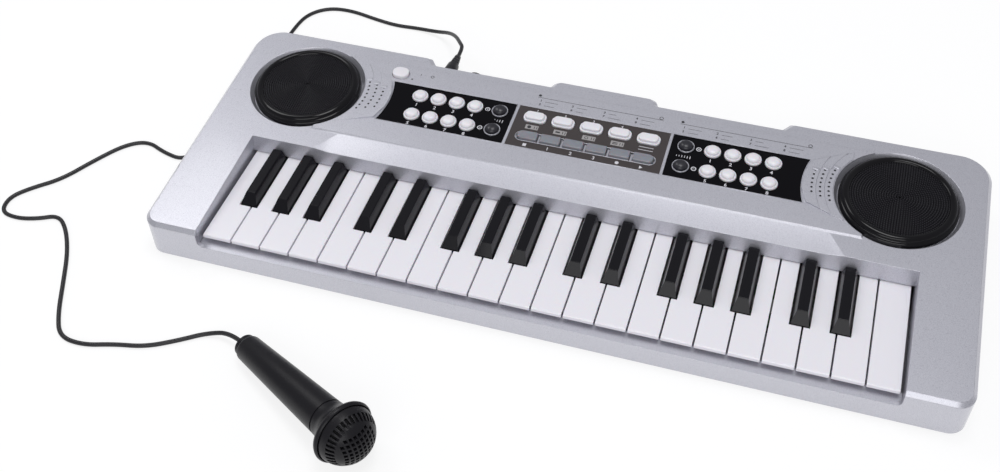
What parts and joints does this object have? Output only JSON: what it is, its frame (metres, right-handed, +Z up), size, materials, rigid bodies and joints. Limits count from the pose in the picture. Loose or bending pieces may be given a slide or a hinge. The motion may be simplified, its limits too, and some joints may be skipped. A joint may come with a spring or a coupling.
{
  "type": "mini keyboard",
  "caption": "Small toy electronic keyboard with rocking piano keys, twin speakers, push buttons, and a corded microphone.",
  "frame": {"origin": "bottom face of the middle foot, on the table under the middle of the case", "axes": "+X towards the treble keys, +Y towards the back of the case, +Z up"},
  "size_m": [0.5259, 0.3382, 0.0354],
  "materials": {
    "silver_plastic": "silver metallic paint on injection-moulded plastic, satin",
    "white_key": "moulded, glossy",
    "black_key": "moulded, glossy",
    "black_mesh": "moulded, glossy ring round a perforated face",
    "driver_metal": "stamped basket, dark",
    "panel_sheet": "black printed sheet, glossy",
    "dark_panel": "printed sheet, satin",
    "white_button": "moulded, soft gloss",
    "grey_button": "moulded, smoky and translucent",
    "dark_button": "moulded, satin",
    "board": "resin board with green lacquer",
    "contact_rubber": "moulded silicone",
    "socket_plastic": "moulded",
    "screw_steel": "zinc plated",
    "foot_rubber": "moulded",
    "mic_plastic": "moulded, satin",
    "plug_plastic": "moulded over a metal pin",
    "cord_vinyl": "soft vinyl jacket"
  },
  "bodies": {
    "case": {"bottom_case": "silver_plastic", "top_cover": "silver_plastic", "speaker_grilles": "black_mesh", "speaker_drivers": "driver_metal", "side_panels": "panel_sheet", "centre_panel": "dark_panel", "circuit_boards": "board", "rubber_contacts": "contact_rubber", "rear_sockets": "socket_plastic", "battery_door": "silver_plastic", "case_screws": "screw_steel", "rubber_feet": "foot_rubber", "mic_handle": "mic_plastic", "mic_grille": "mic_plastic", "mic_plug": "plug_plastic", "mic_cord": "cord_vinyl"},
    "white_key_01": {"white_key_01": "white_key"},
    "white_key_02": {"white_key_02": "white_key"},
    "white_key_03": {"white_key_03": "white_key"},
    "white_key_04": {"white_key_04": "white_key"},
    "white_key_05": {"white_key_05": "white_key"},
    "white_key_06": {"white_key_06": "white_key"},
    "white_key_07": {"white_key_07": "white_key"},
    "white_key_08": {"white_key_08": "white_key"},
    "white_key_09": {"white_key_09": "white_key"},
    "white_key_10": {"white_key_10": "white_key"},
    "white_key_11": {"white_key_11": "white_key"},
    "white_key_12": {"white_key_12": "white_key"},
    "white_key_13": {"white_key_13": "white_key"},
    "white_key_14": {"white_key_14": "white_key"},
    "white_key_15": {"white_key_15": "white_key"},
    "white_key_16": {"white_key_16": "white_key"},
    "white_key_17": {"white_key_17": "white_key"},
    "white_key_18": {"white_key_18": "white_key"},
    "white_key_19": {"white_key_19": "white_key"},
    "white_key_20": {"white_key_20": "white_key"},
    "white_key_21": {"white_key_21": "white_key"},
    "white_key_22": {"white_key_22": "white_key"},
    "black_key_01": {"black_key_01": "black_key"},
    "black_key_02": {"black_key_02": "black_key"},
    "black_key_03": {"black_key_03": "black_key"},
    "black_key_04": {"black_key_04": "black_key"},
    "black_key_05": {"black_key_05": "black_key"},
    "black_key_06": {"black_key_06": "black_key"},
    "black_key_07": {"black_key_07": "black_key"},
    "black_key_08": {"black_key_08": "black_key"},
    "black_key_09": {"black_key_09": "black_key"},
    "black_key_10": {"black_key_10": "black_key"},
    "black_key_11": {"black_key_11": "black_key"},
    "black_key_12": {"black_key_12": "black_key"},
    "black_key_13": {"black_key_13": "black_key"},
    "black_key_14": {"black_key_14": "black_key"},
    "black_key_15": {"black_key_15": "black_key"},
    "tone_buttons": {"tone_buttons": "white_button"},
    "rhythm_buttons": {"rhythm_buttons": "white_button"},
    "volume_buttons": {"volume_buttons": "dark_button"},
    "tempo_buttons": {"tempo_buttons": "dark_button"},
    "drum_pads": {"drum_pads": "white_button"},
    "mode_buttons": {"mode_buttons": "grey_button"},
    "power_button": {"power_button": "white_button"}
  },
  "joints": [
    {"name": "white_key_01_rock", "type": "hinge", "parent": "case", "child": "white_key_01", "pos_m": [0, 0.006, 0.0124], "axis": [1, 0, 0], "range_deg": [0, 1.5], "stiffness_Nm_per_rad": 0.8, "springref_deg": -1.15},
    {"name": "white_key_02_rock", "type": "hinge", "parent": "case", "child": "white_key_02", "pos_m": [0, 0.006, 0.0124], "axis": [1, 0, 0], "range_deg": [0, 1.5], "stiffness_Nm_per_rad": 0.8, "springref_deg": -1.15},
    {"name": "white_key_03_rock", "type": "hinge", "parent": "case", "child": "white_key_03", "pos_m": [0, 0.006, 0.0124], "axis": [1, 0, 0], "range_deg": [0, 1.5], "stiffness_Nm_per_rad": 0.8, "springref_deg": -1.15},
    {"name": "white_key_04_rock", "type": "hinge", "parent": "case", "child": "white_key_04", "pos_m": [0, 0.006, 0.0124], "axis": [1, 0, 0], "range_deg": [0, 1.5], "stiffness_Nm_per_rad": 0.8, "springref_deg": -1.15},
    {"name": "white_key_05_rock", "type": "hinge", "parent": "case", "child": "white_key_05", "pos_m": [0, 0.006, 0.0124], "axis": [1, 0, 0], "range_deg": [0, 1.5], "stiffness_Nm_per_rad": 0.8, "springref_deg": -1.15},
    {"name": "white_key_06_rock", "type": "hinge", "parent": "case", "child": "white_key_06", "pos_m": [0, 0.006, 0.0124], "axis": [1, 0, 0], "range_deg": [0, 1.5], "stiffness_Nm_per_rad": 0.8, "springref_deg": -1.15},
    {"name": "white_key_07_rock", "type": "hinge", "parent": "case", "child": "white_key_07", "pos_m": [0, 0.006, 0.0124], "axis": [1, 0, 0], "range_deg": [0, 1.5], "stiffness_Nm_per_rad": 0.8, "springref_deg": -1.15},
    {"name": "white_key_08_rock", "type": "hinge", "parent": "case", "child": "white_key_08", "pos_m": [0, 0.006, 0.0124], "axis": [1, 0, 0], "range_deg": [0, 1.5], "stiffness_Nm_per_rad": 0.8, "springref_deg": -1.15},
    {"name": "white_key_09_rock", "type": "hinge", "parent": "case", "child": "white_key_09", "pos_m": [0, 0.006, 0.0124], "axis": [1, 0, 0], "range_deg": [0, 1.5], "stiffness_Nm_per_rad": 0.8, "springref_deg": -1.15},
    {"name": "white_key_10_rock", "type": "hinge", "parent": "case", "child": "white_key_10", "pos_m": [0, 0.006, 0.0124], "axis": [1, 0, 0], "range_deg": [0, 1.5], "stiffness_Nm_per_rad": 0.8, "springref_deg": -1.15},
    {"name": "white_key_11_rock", "type": "hinge", "parent": "case", "child": "white_key_11", "pos_m": [0, 0.006, 0.0124], "axis": [1, 0, 0], "range_deg": [0, 1.5], "stiffness_Nm_per_rad": 0.8, "springref_deg": -1.15},
    {"name": "white_key_12_rock", "type": "hinge", "parent": "case", "child": "white_key_12", "pos_m": [0, 0.006, 0.0124], "axis": [1, 0, 0], "range_deg": [0, 1.5], "stiffness_Nm_per_rad": 0.8, "springref_deg": -1.15},
    {"name": "white_key_13_rock", "type": "hinge", "parent": "case", "child": "white_key_13", "pos_m": [0, 0.006, 0.0124], "axis": [1, 0, 0], "range_deg": [0, 1.5], "stiffness_Nm_per_rad": 0.8, "springref_deg": -1.15},
    {"name": "white_key_14_rock", "type": "hinge", "parent": "case", "child": "white_key_14", "pos_m": [0, 0.006, 0.0124], "axis": [1, 0, 0], "range_deg": [0, 1.5], "stiffness_Nm_per_rad": 0.8, "springref_deg": -1.15},
    {"name": "white_key_15_rock", "type": "hinge", "parent": "case", "child": "white_key_15", "pos_m": [0, 0.006, 0.0124], "axis": [1, 0, 0], "range_deg": [0, 1.5], "stiffness_Nm_per_rad": 0.8, "springref_deg": -1.15},
    {"name": "white_key_16_rock", "type": "hinge", "parent": "case", "child": "white_key_16", "pos_m": [0, 0.006, 0.0124], "axis": [1, 0, 0], "range_deg": [0, 1.5], "stiffness_Nm_per_rad": 0.8, "springref_deg": -1.15},
    {"name": "white_key_17_rock", "type": "hinge", "parent": "case", "child": "white_key_17", "pos_m": [0, 0.006, 0.0124], "axis": [1, 0, 0], "range_deg": [0, 1.5], "stiffness_Nm_per_rad": 0.8, "springref_deg": -1.15},
    {"name": "white_key_18_rock", "type": "hinge", "parent": "case", "child": "white_key_18", "pos_m": [0, 0.006, 0.0124], "axis": [1, 0, 0], "range_deg": [0, 1.5], "stiffness_Nm_per_rad": 0.8, "springref_deg": -1.15},
    {"name": "white_key_19_rock", "type": "hinge", "parent": "case", "child": "white_key_19", "pos_m": [0, 0.006, 0.0124], "axis": [1, 0, 0], "range_deg": [0, 1.5], "stiffness_Nm_per_rad": 0.8, "springref_deg": -1.15},
    {"name": "white_key_20_rock", "type": "hinge", "parent": "case", "child": "white_key_20", "pos_m": [0, 0.006, 0.0124], "axis": [1, 0, 0], "range_deg": [0, 1.5], "stiffness_Nm_per_rad": 0.8, "springref_deg": -1.15},
    {"name": "white_key_21_rock", "type": "hinge", "parent": "case", "child": "white_key_21", "pos_m": [0, 0.006, 0.0124], "axis": [1, 0, 0], "range_deg": [0, 1.5], "stiffness_Nm_per_rad": 0.8, "springref_deg": -1.15},
    {"name": "white_key_22_rock", "type": "hinge", "parent": "case", "child": "white_key_22", "pos_m": [0, 0.006, 0.0124], "axis": [1, 0, 0], "range_deg": [0, 1.5], "stiffness_Nm_per_rad": 0.8, "springref_deg": -1.15},
    {"name": "black_key_01_rock", "type": "hinge", "parent": "case", "child": "black_key_01", "pos_m": [0, 0.006, 0.0124], "axis": [1, 0, 0], "range_deg": [0, 1.5], "stiffness_Nm_per_rad": 0.8, "springref_deg": -1.15},
    {"name": "black_key_02_rock", "type": "hinge", "parent": "case", "child": "black_key_02", "pos_m": [0, 0.006, 0.0124], "axis": [1, 0, 0], "range_deg": [0, 1.5], "stiffness_Nm_per_rad": 0.8, "springref_deg": -1.15},
    {"name": "black_key_03_rock", "type": "hinge", "parent": "case", "child": "black_key_03", "pos_m": [0, 0.006, 0.0124], "axis": [1, 0, 0], "range_deg": [0, 1.5], "stiffness_Nm_per_rad": 0.8, "springref_deg": -1.15},
    {"name": "black_key_04_rock", "type": "hinge", "parent": "case", "child": "black_key_04", "pos_m": [0, 0.006, 0.0124], "axis": [1, 0, 0], "range_deg": [0, 1.5], "stiffness_Nm_per_rad": 0.8, "springref_deg": -1.15},
    {"name": "black_key_05_rock", "type": "hinge", "parent": "case", "child": "black_key_05", "pos_m": [0, 0.006, 0.0124], "axis": [1, 0, 0], "range_deg": [0, 1.5], "stiffness_Nm_per_rad": 0.8, "springref_deg": -1.15},
    {"name": "black_key_06_rock", "type": "hinge", "parent": "case", "child": "black_key_06", "pos_m": [0, 0.006, 0.0124], "axis": [1, 0, 0], "range_deg": [0, 1.5], "stiffness_Nm_per_rad": 0.8, "springref_deg": -1.15},
    {"name": "black_key_07_rock", "type": "hinge", "parent": "case", "child": "black_key_07", "pos_m": [0, 0.006, 0.0124], "axis": [1, 0, 0], "range_deg": [0, 1.5], "stiffness_Nm_per_rad": 0.8, "springref_deg": -1.15},
    {"name": "black_key_08_rock", "type": "hinge", "parent": "case", "child": "black_key_08", "pos_m": [0, 0.006, 0.0124], "axis": [1, 0, 0], "range_deg": [0, 1.5], "stiffness_Nm_per_rad": 0.8, "springref_deg": -1.15},
    {"name": "black_key_09_rock", "type": "hinge", "parent": "case", "child": "black_key_09", "pos_m": [0, 0.006, 0.0124], "axis": [1, 0, 0], "range_deg": [0, 1.5], "stiffness_Nm_per_rad": 0.8, "springref_deg": -1.15},
    {"name": "black_key_10_rock", "type": "hinge", "parent": "case", "child": "black_key_10", "pos_m": [0, 0.006, 0.0124], "axis": [1, 0, 0], "range_deg": [0, 1.5], "stiffness_Nm_per_rad": 0.8, "springref_deg": -1.15},
    {"name": "black_key_11_rock", "type": "hinge", "parent": "case", "child": "black_key_11", "pos_m": [0, 0.006, 0.0124], "axis": [1, 0, 0], "range_deg": [0, 1.5], "stiffness_Nm_per_rad": 0.8, "springref_deg": -1.15},
    {"name": "black_key_12_rock", "type": "hinge", "parent": "case", "child": "black_key_12", "pos_m": [0, 0.006, 0.0124], "axis": [1, 0, 0], "range_deg": [0, 1.5], "stiffness_Nm_per_rad": 0.8, "springref_deg": -1.15},
    {"name": "black_key_13_rock", "type": "hinge", "parent": "case", "child": "black_key_13", "pos_m": [0, 0.006, 0.0124], "axis": [1, 0, 0], "range_deg": [0, 1.5], "stiffness_Nm_per_rad": 0.8, "springref_deg": -1.15},
    {"name": "black_key_14_rock", "type": "hinge", "parent": "case", "child": "black_key_14", "pos_m": [0, 0.006, 0.0124], "axis": [1, 0, 0], "range_deg": [0, 1.5], "stiffness_Nm_per_rad": 0.8, "springref_deg": -1.15},
    {"name": "black_key_15_rock", "type": "hinge", "parent": "case", "child": "black_key_15", "pos_m": [0, 0.006, 0.0124], "axis": [1, 0, 0], "range_deg": [0, 1.5], "stiffness_Nm_per_rad": 0.8, "springref_deg": -1.15},
    {"name": "tone_buttons_press", "type": "slide", "parent": "case", "child": "tone_buttons", "axis": [0, 0.0624, -0.9981], "range_m": [0, 0.001], "stiffness_N_per_m": 600, "springref_m": -0.001},
    {"name": "rhythm_buttons_press", "type": "slide", "parent": "case", "child": "rhythm_buttons", "axis": [0, 0.0624, -0.9981], "range_m": [0, 0.001], "stiffness_N_per_m": 600, "springref_m": -0.001},
    {"name": "volume_buttons_press", "type": "slide", "parent": "case", "child": "volume_buttons", "axis": [0, 0.0624, -0.9981], "range_m": [0, 0.001], "stiffness_N_per_m": 600, "springref_m": -0.001},
    {"name": "tempo_buttons_press", "type": "slide", "parent": "case", "child": "tempo_buttons", "axis": [0, 0.0624, -0.9981], "range_m": [0, 0.001], "stiffness_N_per_m": 600, "springref_m": -0.001},
    {"name": "drum_pads_press", "type": "slide", "parent": "case", "child": "drum_pads", "axis": [0, 0.0624, -0.9981], "range_m": [0, 0.001], "stiffness_N_per_m": 600, "springref_m": -0.001},
    {"name": "mode_buttons_press", "type": "slide", "parent": "case", "child": "mode_buttons", "axis": [0, 0.0624, -0.9981], "range_m": [0, 0.001], "stiffness_N_per_m": 600, "springref_m": -0.001},
    {"name": "power_button_press", "type": "slide", "parent": "case", "child": "power_button", "axis": [0, 0.0624, -0.9981], "range_m": [0, 0.001], "stiffness_N_per_m": 600, "springref_m": -0.001}
  ]
}
